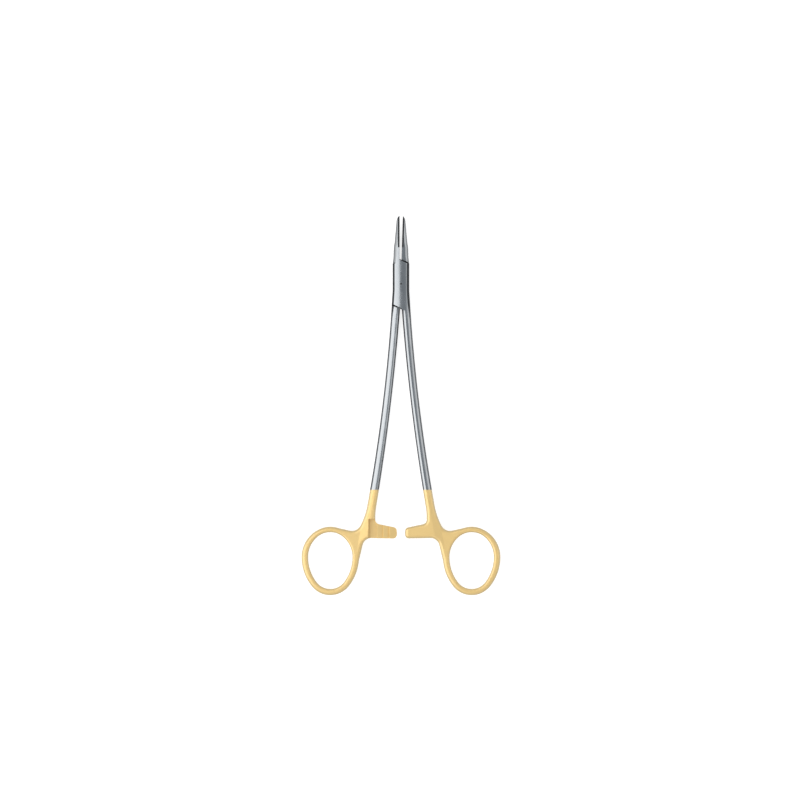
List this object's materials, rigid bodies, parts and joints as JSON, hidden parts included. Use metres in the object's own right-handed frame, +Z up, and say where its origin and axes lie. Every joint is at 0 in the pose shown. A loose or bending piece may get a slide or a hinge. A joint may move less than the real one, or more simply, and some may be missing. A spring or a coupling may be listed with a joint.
{
  "type": "surgical needle holder",
  "caption": "Slender box-lock needle holder with dark carbide jaw inserts, steel shanks, a ratchet and gold-plated finger rings, for gripping a suture needle.",
  "frame": {"origin": "on the pivot's axis, at the underside of the box lock, where the instrument rests", "axes": "+Y along the instrument to the jaw tips, +X to the right seen from above with the tips up, +Z up through the thickness"},
  "size_m": [0.0944, 0.1801, 0.0056],
  "materials": {
    "steel": "satin stainless steel, gold-plated from the lower shanks to the rings",
    "pin_steel": "satin stainless steel, riveted and ground flush",
    "carbide": "dark sintered carbide with a fine cross-cut serration"
  },
  "bodies": {
    "box_lever": {"box_half": "steel", "pivot_pin": "pin_steel", "box_jaw_insert": "carbide"},
    "tongue_lever": {"tongue_half": "steel", "tongue_jaw_insert": "carbide"}
  },
  "joints": [
    {"name": "box_lock", "type": "hinge", "parent": "box_lever", "child": "tongue_lever", "pos_m": [0, 0, 0.0028], "axis": [0, 0, 1], "range_deg": [-45, 2.75]}
  ]
}
